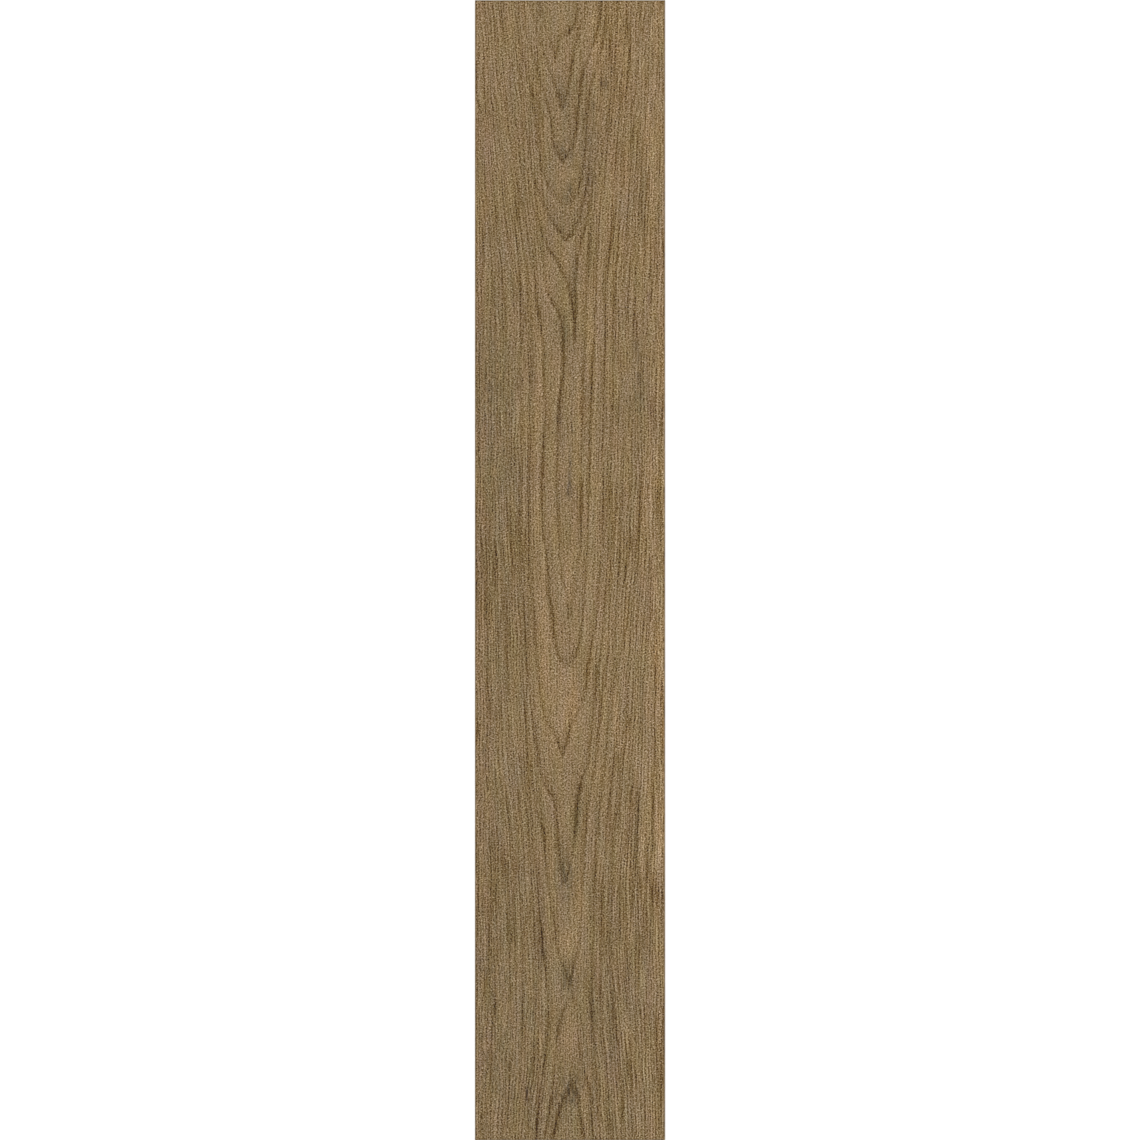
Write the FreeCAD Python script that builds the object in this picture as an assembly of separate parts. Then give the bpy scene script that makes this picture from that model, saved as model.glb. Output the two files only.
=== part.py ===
# Rectified porcelain stoneware plank tile: a flat face with a ground arris, and a pressed keying back.
# Frame: X across the width, Y along the length, Z up. The tile lies on its back ribs at Z = 0, the
# middle of its plan is X = Y = 0, and the face that is walked on is at Z = tile_thickness.
# All lengths are in millimetres.
import FreeCAD
import Part

import math
import os

# Plank, after both pairs of edges have been ground straight and square
tile_width = 200.0
tile_length = 1200.0
tile_thickness = 9.0

# Arris ground round the face, as wide as it is deep
arris = 0.6

# Keying back: a flat rim round a lattice of ribs, with a shallow pocket in every cell
rim_width = 8.0
rib_width = 5.0
pocket_depth = 0.7
pocket_wall_lean = 35.0    # degrees from upright, so that the pressed body leaves the punch
pocket_corner_cut = 2.5    # taken off each side at each corner of a pocket's mouth
pocket_size_aim = 26.5     # the pockets share out the space inside the rim at about this size


def share_out(space):
    """Number and size of the equal pockets that fill a space, with a rib between each two."""
    count = max(1, round((space + rib_width) / (pocket_size_aim + rib_width)))
    size = (space - (count - 1) * rib_width) / count
    return count, size


def pocket_middles(count, size):
    """Middles of a row of pockets, evenly spaced about zero."""
    pitch = size + rib_width
    first = -pitch * (count - 1) / 2
    return [first + pitch * index for index in range(count)]


def ground_plank():
    """The plank with square edges, and the arris round its face."""
    low_corner = FreeCAD.Vector(-tile_width / 2, -tile_length / 2, 0)
    plank = Part.makeBox(tile_width, tile_length, tile_thickness, low_corner)
    face_edges = [edge for edge in plank.Edges if edge.BoundBox.ZMin > tile_thickness / 2]
    return plank.makeChamfer(arris, face_edges)


def pocket(size_across, size_along):
    """One pocket about the origin: its mouth is at Z = 0, and its walls lean in to the floor above."""
    lean = pocket_depth * math.tan(math.radians(pocket_wall_lean))
    mouth_x, mouth_y = size_across / 2, size_along / 2
    floor_x, floor_y = mouth_x - lean, mouth_y - lean
    # The wedge narrows along its own Y, which a quarter turn about X then points upwards.
    form = Part.makeWedge(
        -mouth_x, 0, -mouth_y, -floor_y, -floor_x,
        mouth_x, pocket_depth, mouth_y, floor_y, floor_x,
    )
    form.rotate(FreeCAD.Vector(0, 0, 0), FreeCAD.Vector(1, 0, 0), 90)
    leaning_edges = [edge for edge in form.Edges if edge.BoundBox.ZLength > pocket_depth / 2]
    return form.makeChamfer(pocket_corner_cut, leaning_edges)


def pocket_lattice():
    """Every pocket of the back, in its place inside the rim."""
    count_across, size_across = share_out(tile_width - 2 * rim_width)
    count_along, size_along = share_out(tile_length - 2 * rim_width)
    form = pocket(size_across, size_along)
    places = [
        FreeCAD.Vector(x, y, 0)
        for x in pocket_middles(count_across, size_across)
        for y in pocket_middles(count_along, size_along)
    ]
    return Part.makeCompound([form.translated(place) for place in places])


def plank_tile():
    """The tile as it is pressed, fired and ground: one piece of stoneware."""
    return ground_plank().cut(pocket_lattice())


def main():
    os.makedirs("parts", exist_ok=True)
    tile = plank_tile()
    tile.exportStep("parts/plank_tile.step")
    print("solids", len(tile.Solids), "faces", len(tile.Faces), "valid", tile.isValid())
    print("volume in litres", round(tile.Volume / 1e6, 4))


main()
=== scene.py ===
import math

import bmesh
import bpy
import numpy as np
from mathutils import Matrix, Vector, noise


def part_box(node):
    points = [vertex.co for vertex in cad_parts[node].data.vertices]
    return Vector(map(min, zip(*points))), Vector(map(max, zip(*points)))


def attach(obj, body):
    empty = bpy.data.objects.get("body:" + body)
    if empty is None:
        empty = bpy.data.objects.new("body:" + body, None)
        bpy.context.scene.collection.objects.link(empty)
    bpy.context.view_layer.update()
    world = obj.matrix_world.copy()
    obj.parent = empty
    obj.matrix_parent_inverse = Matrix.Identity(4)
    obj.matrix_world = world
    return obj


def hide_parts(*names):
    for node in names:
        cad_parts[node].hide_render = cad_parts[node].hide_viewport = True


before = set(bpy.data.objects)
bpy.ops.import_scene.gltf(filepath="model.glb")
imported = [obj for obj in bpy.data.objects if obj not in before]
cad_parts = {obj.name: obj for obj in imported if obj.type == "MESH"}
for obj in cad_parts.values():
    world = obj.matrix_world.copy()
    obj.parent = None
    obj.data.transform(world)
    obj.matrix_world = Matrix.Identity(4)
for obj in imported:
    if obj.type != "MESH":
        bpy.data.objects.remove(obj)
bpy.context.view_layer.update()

# Lengths are in metres, apart from the drawing of the grain, which is in millimetres with the middle
# of the plank at 0, 0 and its length along Y, as anyone would draw it on the tile itself.
tileLow, tileHigh = (Vector(corner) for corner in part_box("plank_tile"))
mm = 0.001
tiny = 1e-6                   # places closer together than this, in metres, are one and the same

# Node helpers that every material uses


def addNode(tree, kind, inputs=None, **settings):
    # A new node, with its inputs set to a value or linked, by name or by number
    node = tree.nodes.new("ShaderNode" + kind)
    for name, value in settings.items():
        setattr(node, name, value)
    for name, value in (inputs or {}).items():
        if isinstance(value, bpy.types.NodeSocket):
            tree.links.new(value, node.inputs[name])
        else:
            node.inputs[name].default_value = value
    return node


def calc(tree, operation, *values):
    node = addNode(tree, "Math", dict(enumerate(values)), operation=operation)
    return node.outputs[0]


def times(tree, value, factor):
    return calc(tree, "MULTIPLY", value, factor)


def total(tree, first, *others):
    for other in others:
        first = calc(tree, "ADD", first, other)
    return first


def fade(tree, value, low, high, outLow=0.0, outHigh=1.0):
    # A smooth step from outLow to outHigh as the value goes from low to high
    inputs = {"Value": value, "From Min": low, "From Max": high, "To Min": outLow, "To Max": outHigh}
    node = addNode(tree, "MapRange", inputs, interpolation_type="SMOOTHSTEP")
    return node.outputs["Result"]


def between(tree, wave, swing, limits):
    # From the first limit to the second as the wave goes from -swing to swing
    return fade(tree, wave, -swing, swing, *limits)


def noiseAt(tree, x, y, widths, seed, detail=1.0, roughness=0.5):
    # Noise from -0.5 to 0.5, whose marks are about as large as widths, in millimetres. Each noise of
    # a material has a seed of its own, so that no two of them rise and fall together.
    across = calc(tree, "DIVIDE", x, widths[0])
    along = calc(tree, "DIVIDE", y, widths[1])
    place = addNode(tree, "CombineXYZ", {"X": across, "Y": along, "Z": seed}).outputs[0]
    inputs = {"Vector": place, "Scale": 1.0, "Detail": detail, "Roughness": roughness}
    field = addNode(tree, "TexNoise", inputs, noise_dimensions="3D")
    return calc(tree, "SUBTRACT", field.outputs[0], 0.5)


def grainsAt(tree, x, y, size, lean, seed, detail=0.0):
    # The same in round grains, with its rows turned by lean degrees so that they don't show
    cos, sin = math.cos(math.radians(lean)), math.sin(math.radians(lean))
    across = calc(tree, "MULTIPLY_ADD", x, cos, times(tree, y, sin))
    along = calc(tree, "MULTIPLY_ADD", y, cos, times(tree, x, -sin))
    return noiseAt(tree, across, along, (size, size), seed, detail, roughness=0.6)


def newMaterial(name):
    material = bpy.data.materials.new(name)
    material.use_nodes = True
    tree = material.node_tree
    return material, tree, tree.nodes["Principled BSDF"]


def objectPlace(tree):
    # X, Y and Z on the piece, in millimetres
    place = addNode(tree, "TexCoord").outputs["Object"]
    scaled = addNode(tree, "VectorMath", {0: place, 1: (1000, 1000, 1000)}, operation="MULTIPLY")
    return addNode(tree, "SeparateXYZ", {0: scaled.outputs[0]}).outputs


def linear(levels, shift):
    # Screen levels out of 255, all shifted alike, as the linear colour that nodes take
    parts = [min(max((level + shift) / 255, 0), 1) for level in levels]
    return [p / 12.92 if p <= 0.04045 else ((p + 0.055) / 1.055) ** 2.4 for p in parts]


# Camera, light and floor

studio = {
    "viewLength": 1.2,        # the picture is exactly as high as the plank is long
    "cameraPlace": (0, 0.0003, 2.0),    # over the middle, a quarter of a pixel up the plank
    "cameraReach": 20,        # nothing past this is seen
    "ambient": 0.49,          # even light from all round, 1 would be all of it
    "keyStrength": 1.84,
    "keyTilt": (5, -2),       # degrees from straight down, about X and about Y
    "keySoftness": 24,        # degrees
    "floorSize": 9.0,
    "floorLap": 4 * mm,       # how far the floor reaches in under the tile
    "floorTone": 0.9,
    "floorLift": 0.24,        # brings the floor up to the white of the picture, for the camera only
}


def addCamera():
    camera = bpy.data.objects.new("camera", bpy.data.cameras.new("camera"))
    bpy.context.collection.objects.link(camera)
    camera.data.type = "ORTHO"
    camera.data.ortho_scale = studio["viewLength"]
    camera.data.clip_end = studio["cameraReach"]
    camera.location = studio["cameraPlace"]
    bpy.context.scene.camera = camera


def addKeyLight():
    lamp = bpy.data.objects.new("softKey", bpy.data.lights.new("softKey", "SUN"))
    bpy.context.collection.objects.link(lamp)
    lamp.data.energy = studio["keyStrength"]
    lamp.data.angle = math.radians(studio["keySoftness"])
    tiltX, tiltY = studio["keyTilt"]
    lamp.rotation_euler = (math.radians(tiltX), math.radians(tiltY), 0)


def seenByCamera(tree):
    # 1 for what the camera sees itself, in a reflection or through glass
    path = addNode(tree, "LightPath").outputs
    seen = calc(tree, "MAXIMUM", path["Is Camera Ray"], path["Is Glossy Ray"])
    return calc(tree, "MAXIMUM", seen, path["Is Transmission Ray"])


def addSurroundings():
    world = bpy.data.worlds.new("softSurroundings")
    bpy.context.scene.world = world
    world.use_nodes = True
    tree = world.node_tree
    behind = tree.nodes["Background"]
    strength = fade(tree, seenByCamera(tree), 0, 1, studio["ambient"], 1.0)
    behind.inputs["Color"].default_value = (1, 1, 1, 1)
    tree.links.new(strength, behind.inputs["Strength"])


def addFloor():
    # The floor is open under the tile, so that the back can be looked at from below
    shape = bmesh.new()
    made = bmesh.ops.create_grid(shape, x_segments=3, y_segments=3, size=studio["floorSize"] / 2)
    inner = [vert for vert in made["verts"] if len(vert.link_faces) == 4]
    for vert in inner:
        vert.co.x = math.copysign(tileHigh.x - studio["floorLap"], vert.co.x)
        vert.co.y = math.copysign(tileHigh.y - studio["floorLap"], vert.co.y)
    middle = [face for face in shape.faces if all(vert in inner for vert in face.verts)]
    bmesh.ops.delete(shape, geom=middle, context="FACES")
    mesh = bpy.data.meshes.new("floor")
    shape.to_mesh(mesh)
    shape.free()
    floor = bpy.data.objects.new("floor", mesh)
    bpy.context.collection.objects.link(floor)
    material, tree, shader = newMaterial("paleFloor")
    tone = studio["floorTone"]
    shader.inputs["Base Color"].default_value = (tone, tone, tone, 1)
    shader.inputs["Roughness"].default_value = 1.0
    shader.inputs["Specular IOR Level"].default_value = 0.0
    shader.inputs["Emission Color"].default_value = (1, 1, 1, 1)
    lift = times(tree, seenByCamera(tree), studio["floorLift"])
    tree.links.new(lift, shader.inputs["Emission Strength"])
    mesh.materials.append(material)


bpy.context.scene.view_settings.view_transform = "Standard"
addCamera()
addKeyLight()
addSurroundings()
addFloor()
print("camera, light and floor are ready")


# The grain, given point by point: growth lines of a plain-sawn oak board

growth = {
    # Lines that open upwards, from the innermost. Each one comes down its left arm from the top end
    # of the plank, turns at its tip and goes up its right arm.
    "falling": [
        [(-35, 606), (-31, 586), (-25, 566), (-19, 547), (-15, 535), (-12, 551), (-9, 566), (-4, 561),
         (1, 568), (6, 577), (8, 590), (9, 606)],
        [(-45, 606), (-40, 584), (-33, 562), (-27, 541), (-20, 522), (-14, 504), (-8, 478), (-3, 502),
         (0, 516), (2, 532), (6, 550), (10, 563), (12, 575), (17, 588), (21, 606)],
        [(-55, 606), (-50, 576), (-43, 552), (-36, 532), (-29, 505), (-22, 484), (-19, 466), (-18, 447),
         (-12, 438), (-8, 425), (-3, 437), (4, 446), (8, 462), (7, 476), (10, 495), (12, 515), (18, 535),
         (26, 556), (31, 572), (34, 606)],
        [(-62, 606), (-57, 575), (-51, 548), (-45, 520), (-39, 497), (-36, 470), (-34, 443), (-30, 420),
         (-25, 406), (-17, 394), (-8, 386), (-2, 382), (4, 388), (10, 400), (13, 418), (17, 438), (18, 470),
         (20, 495), (25, 520), (33, 545), (38, 575), (40, 606)],
        [(-66, 606), (-62, 575), (-57, 540), (-50, 512), (-45, 490), (-43, 460), (-42, 430), (-38, 410),
         (-31, 390), (-22, 372), (-14, 359), (-8, 350), (-4, 345), (2, 354), (9, 367), (14, 384), (18, 402),
         (21, 422), (21, 438), (24, 457), (29, 478), (36, 510), (42, 540), (45, 570), (46, 606)],
        [(-70, 606), (-66, 565), (-60, 520), (-53, 480), (-48, 440), (-44, 405), (-39, 378), (-32, 358),
         (-27, 345), (-21, 334), (-14, 327), (-8, 309), (-1, 300), (3, 268), (5, 226), (7, 270), (6, 305),
         (9, 333), (14, 352), (19, 370), (24, 408), (30, 450), (35, 480), (41, 515), (47, 555), (49, 606)],
        [(-76, 606), (-70, 560), (-64, 510), (-58, 460), (-51, 420), (-46, 396), (-42, 372), (-35, 352),
         (-29, 335), (-28, 318), (-26, 296), (-18, 280), (-10, 268), (-8, 240), (-7, 215), (-10, 195),
         (-13, 165), (-14, 125), (-15, 95), (-13, 55), (-12, 20), (-9, -8), (-5, -28), (0, -58), (4, -30),
         (8, 0), (13, 30), (12, 75), (13, 120), (14, 170), (15, 220), (17, 265), (18, 300), (21, 345),
         (24, 370), (29, 402), (34, 430), (38, 460), (43, 505), (50, 550), (52, 606)],
        [(-82, 606), (-76, 555), (-70, 505), (-64, 455), (-58, 418), (-52, 395), (-47, 362), (-42, 340),
         (-39, 318), (-37, 295), (-35, 275), (-31, 255), (-28, 230), (-28, 200), (-26, 168), (-28, 143),
         (-30, 110), (-31, 70), (-28, 33), (-24, 8), (-24, -20), (-19, -45), (-17, -75), (-12, -92),
         (-5, -103), (1, -97), (7, -90), (12, -70), (14, -48), (16, -10), (19, 30), (20, 70), (21, 115),
         (22, 160), (24, 205), (26, 250), (28, 300), (29, 350), (33, 390), (38, 430), (43, 475), (49, 515),
         (53, 550), (56, 606)],
        [(-87, 606), (-80, 550), (-74, 495), (-68, 440), (-61, 400), (-53, 366), (-48, 342), (-46, 315),
         (-45, 280), (-43, 240), (-42, 205), (-43, 165), (-44, 110), (-45, 60), (-43, 20), (-42, -10),
         (-39, -45), (-37, -80), (-34, -115), (-30, -145), (-24, -163), (-16, -172), (-12, -184), (-8, -202),
         (-3, -180), (2, -161), (10, -148), (17, -130), (19, -108), (22, -85), (27, -60), (31, -25), (32, 0),
         (35, 35), (36, 75), (35, 110), (35, 150), (37, 200), (38, 250), (38, 300), (41, 328), (46, 362),
         (48, 410), (50, 460), (53, 500), (57, 545), (59, 575), (60, 606)],
        [(-90, 606), (-85, 550), (-79, 490), (-72, 430), (-66, 385), (-58, 355), (-54, 330), (-52, 295),
         (-51, 255), (-54, 205), (-52, 160), (-52, 115), (-54, 75), (-53, 35), (-49, 0), (-48, -45),
         (-47, -85), (-44, -115), (-41, -140), (-38, -170), (-34, -200), (-30, -219), (-23, -230),
         (-17, -242), (-15, -262), (-13, -290), (-10, -318), (-5, -338), (-1, -314), (4, -295), (7, -265),
         (9, -240), (14, -220), (20, -200), (22, -175), (25, -148), (28, -118), (32, -90), (36, -68),
         (38, -30), (39, 0), (42, 30), (43, 90), (44, 145), (47, 195), (46, 250), (47, 300), (51, 350),
         (55, 405), (58, 460), (61, 510), (65, 560), (66, 606)],
        [(-93, 606), (-88, 550), (-83, 490), (-77, 430), (-70, 380), (-64, 330), (-59, 295), (-58, 240),
         (-57, 165), (-60, 110), (-59, 60), (-58, 20), (-55, -20), (-54, -60), (-52, -105), (-48, -145),
         (-45, -190), (-43, -218), (-38, -243), (-32, -264), (-27, -280), (-26, -318), (-22, -346),
         (-17, -370), (-15, -395), (-11, -411), (-5, -423), (-1, -444), (3, -420), (8, -406), (11, -385),
         (13, -345), (15, -300), (18, -262), (22, -235), (27, -208), (30, -178), (33, -145), (37, -108),
         (40, -75), (41, -30), (43, 5), (47, 45), (50, 85), (50, 130), (52, 185), (55, 240), (57, 295),
         (60, 345), (63, 400), (67, 455), (70, 510), (72, 560), (74, 606)],
    ],
    # Lines that open downwards, under the saddle, from the innermost
    "rising": [
        [(-21, -606), (-17, -588), (-13, -571), (-8, -557), (-1, -545), (3, -536), (8, -548), (11, -568),
         (13, -587), (17, -606)],
        [(-29, -606), (-24, -578), (-19, -545), (-17, -515), (-14, -484), (-8, -465), (-2, -450), (2, -444),
         (6, -456), (9, -480), (11, -508), (17, -532), (23, -550), (24, -575), (26, -606)],
    ],
    # Lines that run the whole length, as places across the plank at each of the stations along it
    "stations": (606, 500, 400, 300, 200, 100, 0, -100, -200, -300, -400, -450, -500, -550, -606),
    "left": [
        (-95, -89, -81, -71, -65, -64, -60, -57, -50, -38, -29, -23, -24, -33, -36),
        (-96, -91, -85, -76, -70, -69, -64, -61, -52, -42, -38, -38, -38, -42, -46),
        (-98, -94, -89, -82, -77, -76, -72, -69, -64, -55, -51, -50, -52, -55, -58),
        (-100, -97, -93, -88, -84, -83, -80, -78, -76, -71, -65, -65, -68, -70, -73),
        (-102, -99, -96, -93, -91, -90, -89, -88, -87, -84, -79, -80, -82, -84, -87),
    ],
    "right": [
        (79, 75, 69, 62, 59, 57, 51, 47, 38, 26, 26, 22, 26, 31, 32),
        (85, 81, 76, 70, 66, 66, 60, 56, 47, 36, 33, 32, 36, 41, 44),
        (90, 87, 83, 78, 74, 75, 70, 62, 55, 46, 42, 46, 51, 55, 58),
        (95, 92, 89, 86, 82, 83, 80, 71, 66, 60, 58, 60, 63, 65, 67),
        (99, 97, 95, 93, 90, 90, 87, 80, 75, 70, 73, 74, 76, 78, 80),
        (103, 101, 99, 98, 97, 97, 95, 91, 88, 87, 85, 85, 87, 89, 92),
    ],
    "reach": 22.0,            # how far the ring count goes on past the first and the last line
    "climb": 0.15,            # the most that the count may grow in 1 mm along the plank
    # Where the lines are bolder: across, along, half width, half length, how much
    "bold": [
        (2, 566, 9, 10, 0.9), (8, 588, 6, 18, -0.2), (31, 575, 8, 34, 1.1), (9, 472, 4, 34, 1.2),
        (12, 520, 6, 24, 0.7), (2, 535, 5, 24, 0.6),
        (-8, 492, 9, 14, 0.3), (-15, 545, 6, 12, 0.2), (59, 560, 5, 60, 1.2), (-8, 436, 10, 10, 0.8),
        (-34, 440, 6, 34, 0.2), (-20, 462, 4, 22, 0.8), (18, 400, 7, 26, 0.5),
        (-4, 354, 14, 13, 1.0), (-20, 332, 7, 8, 0.8),
        (-8, 382, 14, 6, -0.5), (-22, 520, 5, 30, -0.3), (-22, 585, 12, 20, -0.4), (52, 510, 4, 30, 0.6),
        (22, 330, 5, 34, 1.0), (40, 328, 4, 16, 0.5), (-18, 280, 12, 16, 1.1), (-8, 245, 7, 32, 1.0),
        (5, 270, 5, 34, 0.9), (-11, 185, 6, 40, 1.0), (-31, 255, 6, 40, 0.5), (16, 200, 5, 60, 0.6),
        (24, 190, 4, 60, 0.9), (37, 190, 4, 90, 0.4), (46, 170, 3, 60, 0.4), (-28, 110, 6, 70, 0.4),
        (-24, 10, 6, 40, 0.7), (-30, 60, 4, 60, 0.5), (14, 75, 5, 50, 0.9), (37, 100, 4, 20, 0.6),
        (-54, 80, 5, 34, 0.7), (-19, -50, 6, 40, 0.9), (-9, -92, 10, 14, 0.8), (9, -84, 8, 12, 0.8),
        (0, -48, 10, 12, 0.6), (20, -110, 5, 26, 0.9), (30, -125, 5, 30, 0.9), (-45, -110, 7, 46, 0.3),
        (-35, -190, 9, 30, 0.2), (-22, -232, 12, 14, 0.9), (-14, -275, 5, 34, 0.8), (12, -230, 9, 30, 1.1),
        (8, -272, 5, 34, 1.1), (-8, -186, 12, 16, 0.7), (-26, -270, 4, 24, 1.2), (88, -255, 4, 26, 0.6),
        (70, -280, 4, 50, 0.6), (-8, -325, 10, 20, 0.4), (-29, -395, 5, 30, 1.0), (-15, -385, 5, 26, 0.8),
        (-2, -428, 10, 16, 0.4), (24, -322, 4, 20, 0.7), (76, -390, 3, 50, 0.7), (-10, -478, 7, 18, 0.9),
        (20, -530, 8, 24, 0.6), (1, -552, 14, 16, 0.7), (-14, -582, 7, 24, 1.4), (14, -590, 6, 22, 1.0),
        (-28, -520, 6, 36, 0.7), (-36, -575, 5, 30, 0.9), (25, -470, 5, 30, 0.7),
    ],
}

fibres = {
    # Where a bundle of fibres lies across the plank, at the same stations
    "guides": [
        (-102,) * len(growth["stations"]),
        (-96, -91, -84, -76, -75, -75, -71, -69, -64, -55, -51, -50, -52, -55, -59),
        (-84, -73, -61, -48, -47, -48, -46, -42, -37, -31, -25, -23, -24, -29, -34),
        (0,) * len(growth["stations"]),
        (62, 56, 50, 42, 42, 39, 36, 30, 25, 22, 20, 20, 23, 26, 29),
        (88, 85, 81, 77, 74, 75, 70, 62, 55, 46, 42, 46, 51, 55, 58),
        (102,) * len(growth["stations"]),
    ],
    "band": 240.0,            # the fibres are told apart afresh in each band, so they stay equally fine
    # Where the streaks of the fibres are stronger: across, along, half width, half length, how much
    "streaky": [
        (0, 0, 28, 800, -0.36), (-30, 150, 18, 180, -0.32), (-34, -90, 16, 80, -0.2),
        (5, 300, 30, 110, -0.16), (34, 20, 16, 240, -0.1), (-8, 500, 50, 90, -0.14),
        (-72, 300, 30, 90, -0.12), (85, -380, 34, 260, 0.34), (80, 50, 26, 150, 0.14),
        (-32, -520, 24, 110, 0.26), (30, -540, 20, 90, 0.26), (75, 310, 30, 90, -0.14),
    ],
}


def rounded(line):
    # Cuts the corners off a drawn line, twice
    for cut in range(2):
        near = line[:1]
        for (ax, ay), (bx, by) in zip(line, line[1:]):
            near += [(0.75 * ax + 0.25 * bx, 0.75 * ay + 0.25 * by),
                     (0.25 * ax + 0.75 * bx, 0.25 * ay + 0.75 * by)]
        line = near + line[-1:]
    return line


def gapTo(line, x, y):
    # Distance from each point to a line
    nearest = np.full(len(x), 1e6)
    for (ax, ay), (bx, by) in zip(line, line[1:]):
        runX, runY = bx - ax, by - ay
        share = ((x - ax) * runX + (y - ay) * runY) / max(runX ** 2 + runY ** 2, 1e-9)
        share = share.clip(0, 1)
        nearest = np.minimum(nearest, np.hypot(x - ax - share * runX, y - ay - share * runY))
    return nearest


def enclosed(line, x, y):
    # Whether each point is between the arms of a line, which ends beyond the end of the plank
    inside = np.zeros(len(x), bool)
    for (ax, ay), (bx, by) in zip(line, line[1:] + line[:1]):
        if ay != by:
            crossed = (ay > y) != (by > y)
            inside ^= crossed & (x < ax + (y - ay) * (bx - ax) / (by - ay))
    return inside


def ringField(x, y):
    # The ring count at each point, whole on a growth line, and the distance between the lines there.
    # Inner and outer are the distances to the line below and above the count.
    falling = [rounded(line) for line in growth["falling"]]
    rising = [rounded(line) for line in growth["rising"]]
    sides = [[rounded(list(zip(places, growth["stations"]))) for places in growth[side]]
             for side in ("left", "right")]
    last = len(falling) - 1
    ring = np.zeros(len(x))
    inner = np.full(len(x), growth["reach"])
    outer = np.full(len(x), growth["reach"])
    free = np.ones(len(x), bool)
    for lines in (falling, rising):
        gaps = [gapTo(line, x, y) for line in lines]
        within = [enclosed(line, x, y) for line in lines]
        for number in range(len(lines)):
            here = free & within[number]
            ring[here] = last - len(lines) + number
            outer[here] = gaps[number][here]
            if number:
                inner[here] = gaps[number - 1][here]
            free &= ~within[number]
    tipGap = np.minimum(gapTo(falling[-1], x, y), gapTo(rising[-1], x, y))
    firstGap = np.full(len(x), 1e6)
    for lines, way in zip(sides, (-1, 1)):
        gaps = [gapTo(line, x, y) for line in lines]
        count = np.zeros(len(x), int)
        for line in lines:
            edge = np.interp(-y, [-py for px, py in line], [px for px, py in line])
            count += (x - edge) * way > 0
        firstGap = np.minimum(firstGap, gaps[0])
        for number in range(1, len(lines) + 1):
            here = free & (count == number)
            ring[here] = last + number
            inner[here] = gaps[number - 1][here]
            if number < len(lines):
                outer[here] = gaps[number][here]
        free &= count == 0
    ring[free] = last
    inner[free] = tipGap[free]
    outer[free] = firstGap[free]
    spacing = inner + outer
    return ring + inner / spacing, spacing


def fibreField(x, y):
    # Two counts of the fibres across the plank, that take turns along it. A fibre's count is where it
    # lies, in millimetres, in the middle of its band.
    stations = growth["stations"][::-1]
    counts = []
    for shift in (0, 0.5):
        band = np.floor(y / fibres["band"] + shift)
        middle = (band + 0.5 - shift) * fibres["band"]
        count = np.zeros(len(x))
        for row in np.unique(y):
            here = y == row
            inRow, inMiddle = (
                [np.interp(place, stations, guide[::-1]) for guide in fibres["guides"]]
                for place in (row, middle[here][0])
            )
            count[here] = np.interp(x[here], inRow, inMiddle)
        counts.append(count)
    return counts


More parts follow.
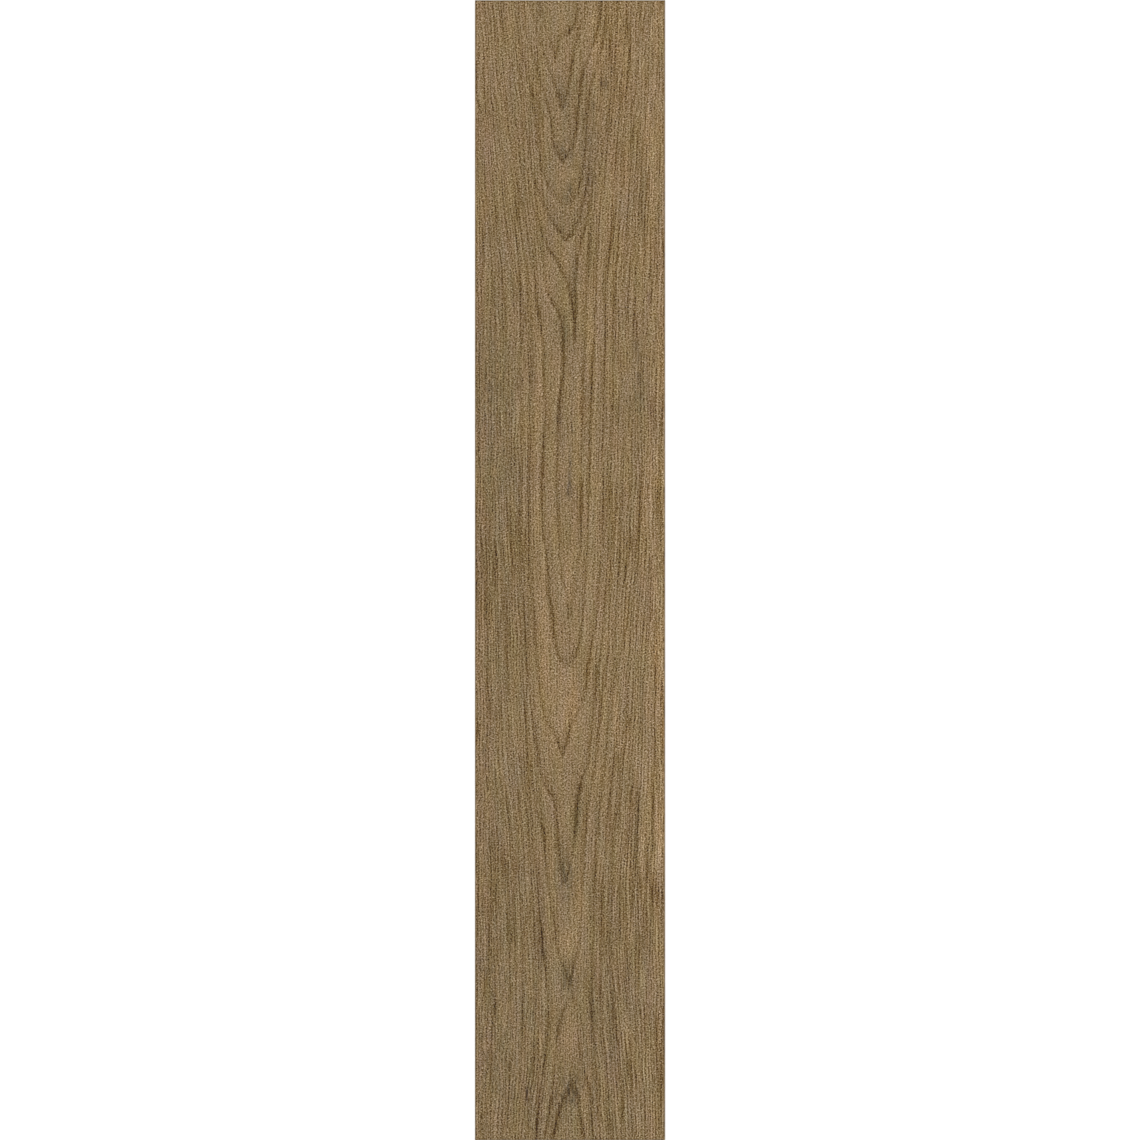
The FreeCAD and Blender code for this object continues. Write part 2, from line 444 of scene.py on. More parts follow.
shades = {
    # Soft patches on the face: across, along, half width, half length, how much darker, how much
    # warmer. What 1 of each does is in the print's own dictionary.
    "patches": [
        # Over the whole face
        (0, -100, 130, 420, -1, 0), (-82, 130, 26, 230, 7, -4), (-94, 0, 12, 620, 2, 6),
        (94, 0, 14, 620, -5, 3), (0, -560, 80, 90, 3, 0), (48, 470, 12, 130, -3, 3),
        (-85, 560, 40, 120, 0, 1), (62, 570, 46, 110, -4, 1), (-2, 425, 26, 50, 4, 0),
        (80, 190, 22, 60, 8, 0), (-82, 205, 26, 50, 2, -1), (35, 300, 18, 60, -3, 0),
        (35, -60, 16, 180, -3, 0), (-85, -100, 25, 120, 2, 0), (-95, -350, 48, 240, 4, -1),
        (0, -440, 120, 190, 5, -1), (0, -370, 22, 90, -3, 0), (78, -290, 20, 70, -5.4, 0),
        (82, -410, 20, 60, 2, 0), (-85, -530, 30, 60, 3, 0), (74, 300, 20, 70, -3, 0),
        (20, 470, 60, 60, 3, 0), (-40, 200, 14, 150, 1, 2), (-82, -20, 20, 90, -3, 0),
        (84, 430, 18, 60, -2, 0), (-84, 310, 20, 50, -2, 0), (-42, -400, 18, 60, -2, 0),
        (-40, -60, 18, 60, 2.6, 0), (0, 220, 20, 110, 1, 0), (88, 560, 16, 60, 1.4, 0),
        # Dark wood inside the tips of the lines, and small marks
        (-5, 497, 8, 16, 6, -2), (-6, 441, 9, 9, 7, -3), (0, 403, 2.5, 8, 14, -2), (0, 392, 9, 7, 4, -2),
        (-8, 366, 16, 16, 5, -2), (3, 290, 5, 26, 7, -2), (-8, 254, 7, 20, 11, -2), (4, 240, 4, 16, 5, -2),
        (-12, 160, 4, 24, 7, 0), (2, 150, 1.6, 16, 14, 0), (0, 112, 1.4, 14, 16, 0), (-1, 84, 3, 7, 24, 3),
        (0, 32, 3, 14, 8, 0), (-2, -46, 7, 12, 8, -2), (0, -92, 12, 10, 6, -1), (-8, -182, 9, 14, 4, 0),
        (8, -255, 4.5, 40, 8, -2), (-5, -325, 10, 24, 14, -2),
        (-28, -400, 3, 30, 8, 0), (0, -430, 9, 17, 12, -3), (1, -550, 13, 16, 13, -2),
        (23, -465, 3.5, 30, 7, 0), (88, -255, 3, 30, 5, 0), (71, -280, 4, 60, 4, 0),
        (38, 512, 3, 6, 12, 0), (45, 527, 2, 6, 10, 0), (33, 513, 2, 5, 20, 6), (23, 490, 4, 5, 10, 0),
        (84, 286, 2.5, 7, 22, 4), (-45, -552, 2.5, 6, 24, 8),
        # Dark bundles of fibres
        (31.5, 590, 2.2, 22, 9, 0), (52, 500, 3, 28, 5, 0), (21, 425, 7, 40, 5, 0),
        (76, 430, 5, 55, 5, 0), (21.5, 335, 3, 26, 7, 0), (70, 232, 3.5, 34, 7, 0),
        (73, 175, 3, 30, 4, 0), (-54, 78, 3, 34, 6, 0), (0, 95, 2.5, 20, 9, 0),
        (81, -30, 3, 40, 7, 0), (75, -150, 3.5, 50, 7, 0), (71, -265, 3.5, 40, 6, 0),
        (-37, -450, 3, 16, 9, 0), (-38, -495, 2.5, 24, 5, 0), (85, -385, 2.5, 34, 8, 0),
        (44, -450, 6, 60, 4, 0), (-90, -420, 7, 10, 4, 0),
        # Pale bundles
        (52, 565, 3, 45, -6, 2), (83, 460, 4.5, 50, -8, 3), (91, 580, 4, 40, -5, 2),
        (44, 425, 3.5, 40, -8, 2), (45, 350, 3, 30, -5, 0), (-38, 30, 4, 60, -5, 1),
        (9.5, 150, 3, 70, -6, 1), (98, 200, 4, 50, -8, 3), (78.5, 85, 3.5, 45, -7, 3),
        (94, 80, 4, 24, -6, 0), (-31, -70, 5, 60, -5, 2), (-43, -215, 3, 24, -4, 0),
        (48, -160, 3.5, 40, -7, 2), (61, -162, 3.5, 18, -6, 0), (91, -88, 3.5, 32, -8, 4),
        (96, -262, 5, 34, -8, 3), (97.5, -150, 2.6, 50, -13, 1), (-32, -500, 2.5, 50, -6, 1),
        (61, -318, 3.5, 28, -7, 2), (54, -450, 2.5, 26, -6, 1), (60, -492, 3, 22, -7, 1),
        (90, -375, 2.5, 36, -6, 1),
        # Pale wood
        (-4, 415, 10, 8, -8, 3), (25, 560, 6, 45, -7, 2), (23, 255, 4, 60, -6, 2), (-35, 160, 5, 60, -5, 2),
        (-2, -12, 6, 28, -8, 3), (-3, -140, 13, 60, -6, 6), (-26, -110, 7, 60, -6, 4),
        (8, -368, 5, 36, -6, 2), (-4, -390, 8, 16, -8, 4), (1, -485, 9, 30, -8, 3),
        (14, -560, 5, 20, -6, 1),
        (77, -30, 3, 70, -4, 3), (-17, -515, 3, 34, -6, 1), (18, -548, 3, 24, -7, 1),
        (-26, -22, 3, 50, -4, 3), (-20, -325, 3, 30, -7, 2), (12, -330, 3, 40, -6, 2),
    ],
}


def patchField(patches, x, y):
    # Adds up soft patches, each with one or more strengths
    sums = np.zeros((len(patches[0]) - 4, len(x)))
    for midX, midY, halfX, halfY, *strengths in patches:
        weight = np.exp(-((x - midX) / halfX) ** 2 - ((y - midY) / halfY) ** 2)
        sums += np.outer(strengths, weight)
    return sums


# The tile: one fired piece with a pressed face, ground sides and a ribbed keying back

tile = {
    "arris": 0.6 * mm,
    "columns": 240,           # faces of the pressed surface, closer together across the grain
    "rows": 333,
    # What is pressed into the face, with widths and sizes in millimetres: across, along
    "lineDepth": 0.16 * mm, "lineWidth": 1.5,
    "lineUneven": 0.4, "unevenSize": (1 / 3, 60),     # share of that depth that varies, in rings across
    "fibreDepth": 0.05 * mm, "fibreSize": (2.4, 45),
    "waveDepth": 0.06 * mm, "waveSize": (22, 90),
    # The keying back
    "rim": 8 * mm,
    "rib": 5 * mm,
    "pocketsAcross": 6,
    "pocketsAlong": 38,
    "pocketDepth": 0.7 * mm,
    "pocketLean": 35,         # degrees from upright
    "pocketCorner": 2.5 * mm,
    "sharpAngle": 20,         # degrees, past which an edge is shown sharp
}

printSlot, bodySlot, washSlot = range(3)    # the tile's materials, in the order they are added


def noiseOf(x, y, size, seed):
    # Smooth noise about zero at one point of the mesh
    return noise.noise(Vector((x / size[0], y / size[1], seed)))


def pressFace(verts):
    # Sinks the growth lines, the fibres and a slow wave a little into the face
    x = np.array([vert.co.x for vert in verts]) / mm
    y = np.array([vert.co.y for vert in verts]) / mm
    ring, spacing = ringField(x, y)
    gap = np.abs(ring - np.round(ring)) * spacing
    lines = np.exp(-(gap / tile["lineWidth"]) ** 2)
    count = fibreField(x, y)[0]
    for index, vert in enumerate(verts):
        fine = noiseOf(count[index], y[index], tile["fibreSize"], 3)
        wave = noiseOf(x[index], y[index], tile["waveSize"], 8)
        uneven = noiseOf(ring[index], y[index], tile["unevenSize"], 5)
        share = 1 - tile["lineUneven"] + tile["lineUneven"] * uneven
        sunk = lines[index] * share * tile["lineDepth"]
        sunk += (0.5 + 0.5 * fine) * tile["fibreDepth"] + (0.5 + 0.5 * wave) * tile["waveDepth"]
        vert.co.z -= max(sunk, 0)


def addBack(shape):
    # The lattice of ribs: a cell for each pocket, its mouth inset by half a rib, its floor pushed up
    across, along = tile["pocketsAcross"], tile["pocketsAlong"]
    inside = [tileHigh[axis] - tile["rim"] + tile["rib"] / 2 for axis in (0, 1)]
    made = bmesh.ops.create_grid(shape, x_segments=across, y_segments=along, size=1)
    bmesh.ops.scale(shape, verts=made["verts"], vec=(inside[0], inside[1], 1))
    cells = [face for face in shape.faces if face.calc_center_median().z < tiny]
    bmesh.ops.inset_individual(shape, faces=cells, thickness=tile["rib"] / 2, use_even_offset=True)
    corners = [vert for cell in cells for vert in cell.verts]
    bmesh.ops.bevel(
        shape, geom=corners, offset=tile["pocketCorner"], offset_type="OFFSET", affect="VERTICES",
        segments=3, profile=0.5, material=-1,
    )
    # The mouths are the large ones of the faces that the bevel has given more corners
    cornered = [
        face for face in shape.faces
        if face.calc_center_median().z < tiny and len(face.verts) > 8
    ]
    largest = max(face.calc_area() for face in cornered)
    mouths = [face for face in cornered if face.calc_area() > 0.9 * largest]
    print("pockets on the back", len(mouths), "of", across * along)
    lean = tile["pocketDepth"] * math.tan(math.radians(tile["pocketLean"]))
    bmesh.ops.inset_individual(shape, faces=mouths, thickness=lean, use_even_offset=True)
    floors = [vert for mouth in mouths for vert in mouth.verts]
    bmesh.ops.translate(shape, verts=floors, vec=(0, 0, tile["pocketDepth"]))


def drawOut(shape, edges, grow, height):
    # Draws the open edge of the face outwards and down to a height, and gives the new open edge
    made = bmesh.ops.extrude_edge_only(shape, edges=edges)["geom"]
    verts = [item for item in made if isinstance(item, bmesh.types.BMVert)]
    sizeX = max(abs(vert.co.x) for vert in verts)
    sizeY = max(abs(vert.co.y) for vert in verts)
    for vert in verts:
        if abs(vert.co.x) > sizeX - tiny:
            vert.co.x += math.copysign(grow, vert.co.x)
        if abs(vert.co.y) > sizeY - tiny:
            vert.co.y += math.copysign(grow, vert.co.y)
        vert.co.z = height
    return [item for item in made if isinstance(item, bmesh.types.BMEdge) and item.is_boundary]


def buildTile():
    shape = bmesh.new()
    made = bmesh.ops.create_grid(shape, x_segments=tile["columns"], y_segments=tile["rows"], size=1)
    half = [tileHigh[axis] - tile["arris"] for axis in (0, 1)]
    bmesh.ops.scale(shape, verts=made["verts"], vec=(half[0], half[1], 1))
    bmesh.ops.translate(shape, verts=made["verts"], vec=(0, 0, tileHigh.z))
    pressFace(made["verts"])
    edges = [edge for edge in shape.edges if edge.is_boundary]
    edges = drawOut(shape, edges, tile["arris"], tileHigh.z - tile["arris"])
    drawOut(shape, edges, 0, tileLow.z)
    addBack(shape)
    edges = [edge for edge in shape.edges if edge.is_boundary]
    bmesh.ops.triangle_fill(shape, use_beauty=True, edges=edges, normal=(0, 0, -1))
    bmesh.ops.recalc_face_normals(shape, faces=shape.faces)
    for face in shape.faces:
        face.smooth = True
        if face.normal.z > 0.9:
            face.material_index = printSlot
        elif face.normal.z < -0.99 and face.calc_center_median().z < tiny:
            face.material_index = washSlot      # the rim and the ribs
        else:
            face.material_index = bodySlot      # the arris, the sides and the pockets
    mesh = bpy.data.meshes.new("plankTile")
    shape.to_mesh(mesh)
    shape.free()
    mesh.set_sharp_from_angle(angle=math.radians(tile["sharpAngle"]))
    piece = bpy.data.objects.new("pressed_plank", mesh)
    bpy.context.collection.objects.link(piece)
    return piece


def keepFields(mesh):
    # Keeps the drawing of the grain with the mesh, for the print on the face to read
    places = np.empty(len(mesh.vertices) * 3)
    mesh.vertices.foreach_get("co", places)
    x, y = places[0::3] / mm, places[1::3] / mm
    y = y.round(3)            # so that a row of points has one and the same Y
    ring, spacing = ringField(x, y)
    climb = (ringField(x, y + 1)[0] - ring).clip(-growth["climb"], growth["climb"])
    darker, warmer = patchField(shades["patches"], x, y)
    bolder, = patchField(growth["bold"], x, y)
    streakier, = patchField(fibres["streaky"], x, y)
    fields = {                # the X, Y and Z of each attribute
        "growth": (ring, spacing, streakier),
        "fibre": (*fibreField(x, y), climb),
        "shade": (darker, warmer, bolder),
    }
    for name, columns in fields.items():
        attribute = mesh.attributes.new(name, "FLOAT_VECTOR", "POINT")
        attribute.data.foreach_set("vector", np.stack(columns, 1).ravel().astype(np.float32))


# How the piece is laid out flat for textures, in millimetres on a sheet that is then fitted to 0 to 1

sheet = {
    "strips": 3,              # the face is cut across and laid side by side at full size
    "gap": 4,
    "backScale": 0.5,         # the back lies across above it, and the sides in rows above that
    "sideScale": 0.5,
    "endScale": 1.0,
    "heightScale": 2.4,       # the sides are only as high as the tile is thick, so they are drawn higher
}


def layOut(mesh):
    gap = sheet["gap"]
    half = [(tileHigh[axis] - tile["arris"]) / mm for axis in (0, 1)]
    reach = [tileHigh[axis] / mm for axis in (0, 1)]
    strip = 2 * half[1] / sheet["strips"]
    backRow = gap + strip + gap
    rows = backRow + 2 * reach[0] * sheet["backScale"] + gap
    rowHeight = tileHigh.z / mm * sheet["heightScale"] + gap
    flat = np.zeros((len(mesh.loops), 2))
    for face in mesh.polygons:
        normal = face.normal
        number = min(int((face.center.y / mm + half[1]) / strip), sheet["strips"] - 1)
        for corner in face.loop_indices:
            x, y, z = mesh.vertices[mesh.loops[corner].vertex_index].co / mm
            if face.material_index == printSlot:
                start = gap + number * (2 * half[0] + gap)
                place = (start + x + half[0], gap + y + half[1] - number * strip)
            elif normal.z < -0.3:               # the back, with the walls of its pockets
                place = (
                    gap + (y + reach[1]) * sheet["backScale"],
                    backRow + (x + reach[0]) * sheet["backScale"],
                )
            elif abs(normal.x) > abs(normal.y):         # the long sides, then the ends
                way = math.copysign(1, normal.x)
                place = (
                    gap + (reach[1] + way * y) * sheet["sideScale"],
                    rows + (way > 0) * rowHeight + z * sheet["heightScale"],
                )
            else:
                way = math.copysign(1, normal.y)
                start = gap + (way > 0) * (2 * reach[0] * sheet["endScale"] + gap)
                place = (
                    start + (reach[0] - way * x) * sheet["endScale"],
                    rows + 2 * rowHeight + z * sheet["heightScale"],
                )
            flat[corner] = place
    flat /= flat.max(0) + gap
    layer = mesh.uv_layers.new(name="OFBake")
    layer.uv.foreach_set("vector", flat.ravel().astype(np.float32))


# Materials of the tile

oakPrint = {
    # Colours and strengths are in screen levels out of 255, sizes in millimetres: across, along
    "tone": (136, 115, 84),
    "reach": 96,              # the most levels that the marks may add to the tone or take off it
    "sheen": 0.018,           # what the gloss adds to every colour, so it is taken off the print
    # Growth lines, which the patches of bold in the drawing make stronger and wider
    "growthLine": 20, "growthWidth": (1.8, 3.4), "widthSize": (12, 70),
    "narrowest": 0.7, "widening": 0.4,  # shares of that width, without strength and with each 1 of it
    "strength": (0.5, 1.1), "strengthSize": (0.9, 130),     # varies between these, in rings across
    "sideLines": 0.5, "sideReach": (30, 75),    # weaker out by the sides, from here to there
    "crowded": 0.35, "crowding": (2, 9),        # and where they lie this close together
    "waver": 2.4, "waverSize": (7, 16), "featherSize": (1.2, 8),    # how far they stray, both ways
    "fray": 18, "fraySize": (1.3, 15),  # how far the fibres draw them out lengthwise, both ways
    "beforeLine": 5, "beforeReach": 11,         # the wood darkens up to a line
    "afterLine": 9, "afterReach": (1, 6),       # and is light again past it
    # Pores: short dark dashes, most of them by the growth lines
    "pores": 16, "poreSize": (1.1, 7), "poreCut": (0.04, 0.2),
    "poreReach": (0.5, 5), "poresElsewhere": 0.12,
    # Fibres, with pairs for the middle and for the sides
    "middleReach": (12, 55),
    "streaks": (51, 65), "streakSize": (1.0, 46),
    "threads": (5, 20), "threadSize": (6.5, 340), "threadWidth": 0.045,
    "bands": 9, "bandSize": (5, 120),
    # The print is laid down in fine columns, light and dark, with more speckle in the dark ones
    "columns": 13, "pitch": 3.16, "drift": 17, "driftSize": (14, 60), "columnSpeckle": 0.3,
    "speckles": ((143, 1.35, 31), (92, 1.6, -17)),    # how strong, how large, which way they lean
    "grit": 34, "gritSize": 0.5,        # finer than the photo shows, for a near look
    "hairs": 30, "hairSize": (0.4, 7),
    "clouds": 5, "cloudSize": (18, 60),
    "edgeWidth": 1.4, "paintedEdgeShade": 26,  # painted shade along the arris: the print is darkened just inside it
    # What 1 of darker and 1 of warmer do in the patches of shade, as shares of the colour
    "darker": 0.02, "warmer": 0.008,
    "mottle": (0.3, 1.7), "mottleSize": (2.6, 11),    # and how unevenly the patches take
    "redDrift": 0.22, "redSize": (9, 40),
    "blueDrift": 0.62, "blueSize": (13, 60),
    "roughness": (0.58, 0.72), "roughReach": 40,
    "gloss": 0.16,
    "relief": 0.05, "reliefLevels": 80,
}


def attributeParts(tree, name):
    vector = addNode(tree, "Attribute", attribute_name=name).outputs["Vector"]
    return addNode(tree, "SeparateXYZ", {0: vector}).outputs


def alongFibres(tree, fibre, y, widths, seed, **settings):
    # Noise along the fibres, taken from each of the two counts in turn, so that no seam shows
    turn = times(tree, y, math.pi / fibres["band"])
    parts = []
    for count, wave in ((fibre["X"], "SINE"), (fibre["Y"], "COSINE")):
        weight = calc(tree, "ABSOLUTE", calc(tree, wave, turn))
        parts.append(times(tree, noiseAt(tree, count, y, widths, seed, **settings), weight))
    return total(tree, *parts)


def rampOf(tree, levels, tone, reach, sheen=0.0):
    # Adds levels to a tone, the same on each of its three parts
    share = calc(tree, "MULTIPLY_ADD", levels, 0.5 / reach, 0.5)
    ramp = addNode(tree, "ValToRGB", {"Fac": share})
    marks = ramp.color_ramp.elements
    steps = 8
    for step in range(1, steps):
        marks.new(step / steps)
    for mark in marks:
        parts = linear(tone, (mark.position * 2 - 1) * reach)
        mark.color = [max(part - sheen, 0.002) for part in parts] + [1]
    return ramp.outputs["Color"]


def tinted(tree, colour, red, green, blue):
    # Multiplies each part of a colour by a factor of its own
    factors = addNode(tree, "CombineColor", {"Red": red, "Green": green, "Blue": blue})
    mixed = addNode(tree, "Mix", data_type="RGBA", blend_type="MULTIPLY")
    mixed.inputs["Factor"].default_value = 1.0
    tree.links.new(colour, mixed.inputs["A"])
    tree.links.new(factors.outputs["Color"], mixed.inputs["B"])
    return mixed.outputs["Result"]


def addRelief(tree, shader, height, depth):
    bump = addNode(tree, "Bump", {"Height": height, "Strength": 1.0, "Distance": depth * mm})
    tree.links.new(bump.outputs["Normal"], shader.inputs["Normal"])


def addGrowthLines(tree, x, y, rings, climb, bolder, outwards):
    # The levels of the growth lines, and how far the nearest one is, in millimetres
    spacing = rings["Y"]
    waver = times(tree, noiseAt(tree, x, y, oakPrint["waverSize"], 1.0, 2.0), oakPrint["waver"])
    feather = times(tree, noiseAt(tree, x, y, oakPrint["featherSize"], 2.0), oakPrint["waver"])
    shift = calc(tree, "DIVIDE", calc(tree, "ADD", waver, feather), spacing)
    # Where a line runs across the fibres, they draw it out into short strokes
    fray = times(tree, noiseAt(tree, x, y, oakPrint["fraySize"], 5.0), oakPrint["fray"])
    ring = total(tree, rings["X"], shift, times(tree, fray, climb))
    gap = times(tree, calc(tree, "PINGPONG", ring, 0.5), spacing)

    uneven = noiseAt(tree, rings["X"], y, oakPrint["strengthSize"], 4.0, 2.0)
    strength = times(tree, between(tree, uneven, 0.16, oakPrint["strength"]), outwards)
    strength = calc(tree, "ADD", strength, bolder)
    crowded = fade(tree, spacing, *oakPrint["crowding"], oakPrint["crowded"], 1.0)
    strength = times(tree, strength, crowded)
    width = between(tree, noiseAt(tree, x, y, oakPrint["widthSize"], 3.0), 0.2, oakPrint["growthWidth"])
    widening = calc(tree, "MULTIPLY_ADD", strength, oakPrint["widening"], oakPrint["narrowest"])
    width = times(tree, width, widening)
    line = times(tree, fade(tree, calc(tree, "DIVIDE", gap, width), 0, 1, 1.0, 0.0), strength)

    # On the way out from the heart the wood darkens up to each line and starts light again after it
    past = times(tree, calc(tree, "FRACT", ring), spacing)
    ahead = calc(tree, "SUBTRACT", spacing, past)
    before = times(tree, fade(tree, ahead, 0, oakPrint["beforeReach"], 1.0, 0.0), strength)
    after = times(tree, fade(tree, past, *oakPrint["afterReach"], 1.0, 0.0), strength)
    levels = total(
        tree,
        times(tree, line, -oakPrint["growthLine"]),
        times(tree, before, -oakPrint["beforeLine"]),
        times(tree, after, oakPrint["afterLine"]),
    )
    return levels, gap


def addPores(tree, y, fibre, gap, outwards):
    dash = fade(tree, alongFibres(tree, fibre, y, oakPrint["poreSize"], 21.0), *oakPrint["poreCut"])
    nearLine = fade(tree, gap, *oakPrint["poreReach"], 1.0, oakPrint["poresElsewhere"])
    pore = times(tree, times(tree, dash, nearLine), outwards)
    return times(tree, pore, -oakPrint["pores"])


def addFibres(tree, x, y, fibre, column, streakier):
    # Streaks, threads, bands and columns, all of them stronger where the drawing says streaky
    sides = fade(tree, calc(tree, "ABSOLUTE", x), *oakPrint["middleReach"])
    streak = alongFibres(tree, fibre, y, oakPrint["streakSize"], 11.0)
    streak = times(tree, streak, fade(tree, sides, 0, 1, *oakPrint["streaks"]))
    # Threads follow the places where a long soft noise passes through zero
    crossing = calc(tree, "ABSOLUTE", alongFibres(tree, fibre, y, oakPrint["threadSize"], 19.0))
    thread = fade(tree, crossing, 0.0, oakPrint["threadWidth"], 1.0, 0.0)
    thread = times(tree, thread, fade(tree, sides, 0, 1, *oakPrint["threads"]))
    band = alongFibres(tree, fibre, y, oakPrint["bandSize"], 12.0, detail=2.0)
    levels = total(
        tree, streak,
        times(tree, band, oakPrint["bands"]),
        times(tree, thread, -1.0),
        times(tree, column, oakPrint["columns"]),
    )
    return times(tree, levels, calc(tree, "ADD", streakier, 1.0))


def addSpeckle(tree, x, y, fibre, column):
    # Everything that is as fine as the dots of the print, and the soft clouds under it
    speckle = total(tree, *(
        times(tree, grainsAt(tree, x, y, size, lean, 50.0 + lean), amount)
        for amount, size, lean in oakPrint["speckles"]
    ))
    inColumn = calc(tree, "MULTIPLY_ADD", column, -oakPrint["columnSpeckle"], 1.0)
    grit = grainsAt(tree, x, y, oakPrint["gritSize"], 9, 22.0)
    hair = alongFibres(tree, fibre, y, oakPrint["hairSize"], 23.0, detail=0.0)
    cloud = noiseAt(tree, x, y, oakPrint["cloudSize"], 15.0, 2.0)
    return total(
        tree,
        times(tree, speckle, inColumn),
        times(tree, grit, oakPrint["grit"]),
        times(tree, hair, oakPrint["hairs"]),
        times(tree, cloud, oakPrint["clouds"]),
    )


def addPaintedEdgeShade(tree, x, y):
    # Painted shade: the print darkens towards the arris over the last edgeWidth millimetres of the face
    gaps = [
        calc(tree, "SUBTRACT", (tileHigh[axis] - tile["arris"]) / mm, calc(tree, "ABSOLUTE", place))
        for axis, place in enumerate((x, y))
    ]
    return fade(tree, calc(tree, "MINIMUM", *gaps), 0, oakPrint["edgeWidth"], -oakPrint["paintedEdgeShade"], 0.0)


def addShade(tree, x, y, colour, darker, warmer):
    # Patches make the tone itself deeper or lighter, and its red and its blue vary by themselves
    mottle = between(tree, noiseAt(tree, x, y, oakPrint["mottleSize"], 6.0, 2.0), 0.15, oakPrint["mottle"])
    depth = calc(tree, "MULTIPLY_ADD", times(tree, darker, mottle), -oakPrint["darker"], 1.0)
    warmth = times(tree, warmer, oakPrint["warmer"])
    redder = times(tree, noiseAt(tree, x, y, oakPrint["redSize"], 14.0, 3.0), oakPrint["redDrift"])
    bluer = times(tree, noiseAt(tree, x, y, oakPrint["blueSize"], 18.0, 3.0), oakPrint["blueDrift"])
    return tinted(tree, colour, total(tree, depth, warmth, redder), depth, calc(tree, "ADD", depth, bluer))


def makeOakPrint():
    material, tree, shader = newMaterial("oakPrint")
    x, y = objectPlace(tree)[:2]
    rings = attributeParts(tree, "growth")
    fibre = attributeParts(tree, "fibre")
    shade = attributeParts(tree, "shade")
    outwards = fade(tree, calc(tree, "ABSOLUTE", x), *oakPrint["sideReach"], 1.0, oakPrint["sideLines"])
    # The columns are a wave across the fibres, which drifts out of step with itself
    drift = times(tree, noiseAt(tree, x, y, oakPrint["driftSize"], 16.0), oakPrint["drift"])
    turns = calc(tree, "MULTIPLY_ADD", fibre["X"], 2 * math.pi / oakPrint["pitch"], drift)
    column = calc(tree, "SINE", turns)

    lines, gap = addGrowthLines(tree, x, y, rings, fibre["Z"], shade["Z"], outwards)
    levels = total(
        tree, lines,
        addPores(tree, y, fibre, gap, outwards),
        addFibres(tree, x, y, fibre, column, rings["Z"]),
        addPaintedEdgeShade(tree, x, y),
        addSpeckle(tree, x, y, fibre, column),
    )
    colour = rampOf(tree, levels, oakPrint["tone"], oakPrint["reach"], oakPrint["sheen"])
    colour = addShade(tree, x, y, colour, shade["X"], shade["Y"])
    tree.links.new(colour, shader.inputs["Base Color"])
    # Dark marks are rougher than light ones
    rough = between(tree, levels, oakPrint["roughReach"], oakPrint["roughness"][::-1])
    tree.links.new(rough, shader.inputs["Roughness"])
    shader.inputs["Specular IOR Level"].default_value = oakPrint["gloss"]
    addRelief(tree, shader, times(tree, levels, 1 / oakPrint["reliefLevels"]), oakPrint["relief"])
    return material


stoneware = {
    "tone": (136, 118, 91),
    "reach": 60,
    "sheen": 0.012,
    "slant": 1.3,             # shifts the grain with height, so that it isn't drawn out up the sides
    "grains": 60, "grainSize": 0.8,
    "flecks": 46, "fleckSize": 1.9, "fleckCut": (0.17, 0.34),   # darker specks of iron in the body
    "blotches": 22, "blotchSize": 9,
    "grinding": 34, "grindingSize": (36, 0.4),
    "grindingRelief": 0.5,    # beside that of the grain
    "roughness": (0.74, 0.9),
    "gloss": 0.12,
    "relief": 0.04,
}


def stonewareLevels(tree, x, y, z):
    # The grain of the body, cut through in every direction, and its specks
    high = times(tree, z, stoneware["slant"])
    across, along = calc(tree, "ADD", x, high), calc(tree, "ADD", y, high)
    grain = grainsAt(tree, across, along, stoneware["grainSize"], 37, 31.0, 2.0)
    fleck = grainsAt(tree, across, along, stoneware["fleckSize"], 14, 34.0, 1.0)
    blotch = grainsAt(tree, across, along, stoneware["blotchSize"], 25, 32.0, 2.0)
    levels = total(
        tree,
        times(tree, grain, stoneware["grains"]),
        times(tree, fade(tree, fleck, *stoneware["fleckCut"]), -stoneware["flecks"]),
        times(tree, blotch, stoneware["blotches"]),
    )
    return grain, levels


def makeStoneware():
    material, tree, shader = newMaterial("firedStoneware")
    x, y, z = objectPlace(tree)
    grain, levels = stonewareLevels(tree, x, y, z)
    # Fine lines that run round the sides, from the grinding wheel
    around = calc(tree, "ADD", x, y)
    grinding = noiseAt(tree, around, z, stoneware["grindingSize"], 33.0)
    levels = total(tree, levels, times(tree, grinding, stoneware["grinding"]))
    colour = rampOf(tree, levels, stoneware["tone"], stoneware["reach"], stoneware["sheen"])
    tree.links.new(colour, shader.inputs["Base Color"])
    tree.links.new(between(tree, grain, 0.2, stoneware["roughness"]), shader.inputs["Roughness"])
    shader.inputs["Specular IOR Level"].default_value = stoneware["gloss"]
    height = calc(tree, "ADD", grain, times(tree, grinding, stoneware["grindingRelief"]))
    addRelief(tree, shader, height, stoneware["relief"])
    return material


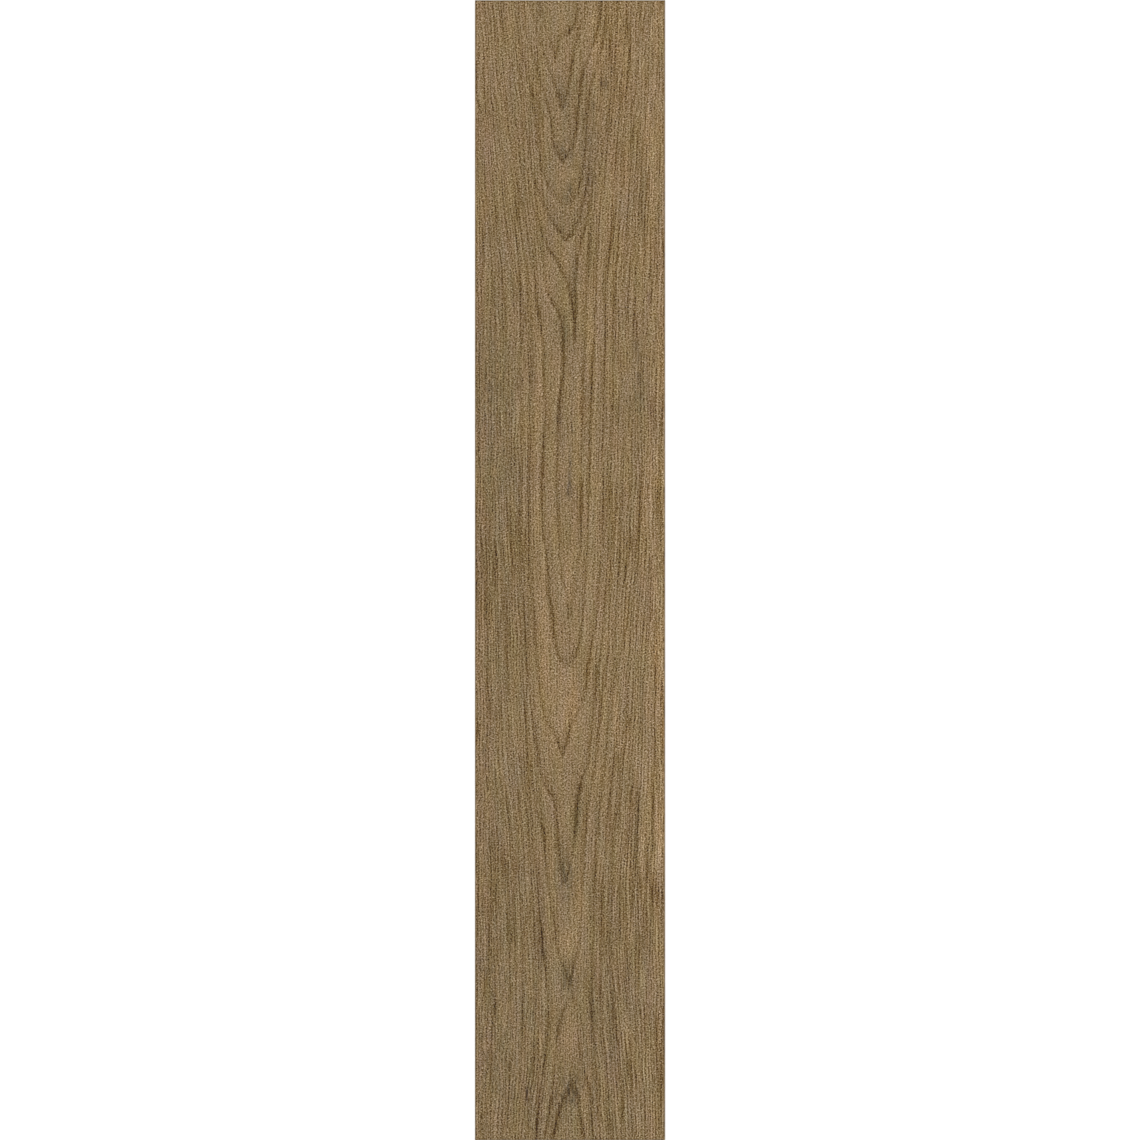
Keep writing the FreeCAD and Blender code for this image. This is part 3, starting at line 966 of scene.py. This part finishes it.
kilnWash = {
    "tone": (196, 189, 175),
    "reach": 40,
    "powder": 34, "powderSize": 1.1,
    "wearSize": 17,
    "worn": 0.0,              # more of this and more of the body shows
    "edge": 0.22,             # how slowly the wash thins out
    "thinnest": 0.1,          # what is left of it where it is rubbed through
    "powderWear": 0.2,        # how much the powder and the scratches fret its edge
    "scratchWear": 0.1, "scratchSize": (1.4, 40),
    "roughness": (0.8, 0.94),
    "gloss": 0.12,
    "relief": 0.05, "powderRelief": 0.6,
}


def makeKilnWash():
    material, tree, shader = newMaterial("kilnWash")
    x, y, z = objectPlace(tree)
    grain, levels = stonewareLevels(tree, x, y, z)
    body = rampOf(tree, levels, stoneware["tone"], stoneware["reach"], stoneware["sheen"])
    powder = grainsAt(tree, x, y, kilnWash["powderSize"], 21, 41.0, 2.0)
    dusty = times(tree, powder, kilnWash["powder"])
    wash = rampOf(tree, dusty, kilnWash["tone"], kilnWash["reach"])
    # The wash sits on the ribs, thick in some places and rubbed through in others
    wear = total(
        tree,
        grainsAt(tree, x, y, kilnWash["wearSize"], 52, 42.0, 5.0),
        times(tree, powder, kilnWash["powderWear"]),
        times(tree, noiseAt(tree, x, y, kilnWash["scratchSize"], 43.0, 2.0), kilnWash["scratchWear"]),
    )
    thin = kilnWash["worn"] - kilnWash["edge"]
    cover = fade(tree, wear, thin, kilnWash["worn"], kilnWash["thinnest"], 1.0)
    mixed = addNode(tree, "Mix", {"Factor": cover}, data_type="RGBA")
    tree.links.new(body, mixed.inputs["A"])
    tree.links.new(wash, mixed.inputs["B"])
    tree.links.new(mixed.outputs["Result"], shader.inputs["Base Color"])
    tree.links.new(fade(tree, cover, 0, 1, *kilnWash["roughness"]), shader.inputs["Roughness"])
    shader.inputs["Specular IOR Level"].default_value = kilnWash["gloss"]
    height = calc(tree, "MULTIPLY_ADD", powder, kilnWash["powderRelief"], cover)
    addRelief(tree, shader, height, kilnWash["relief"])
    return material


plank = buildTile()
print("tile modelled")
keepFields(plank.data)
print("grain drawn on the face")
layOut(plank.data)
print("laid out flat for textures")
for material in (makeOakPrint(), makeStoneware(), makeKilnWash()):
    plank.data.materials.append(material)
print("print, body and kiln wash are on")
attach(plank, "root")
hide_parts("plank_tile")
plank.data.calc_loop_triangles()
print("tile done, triangles", len(plank.data.loop_triangles))
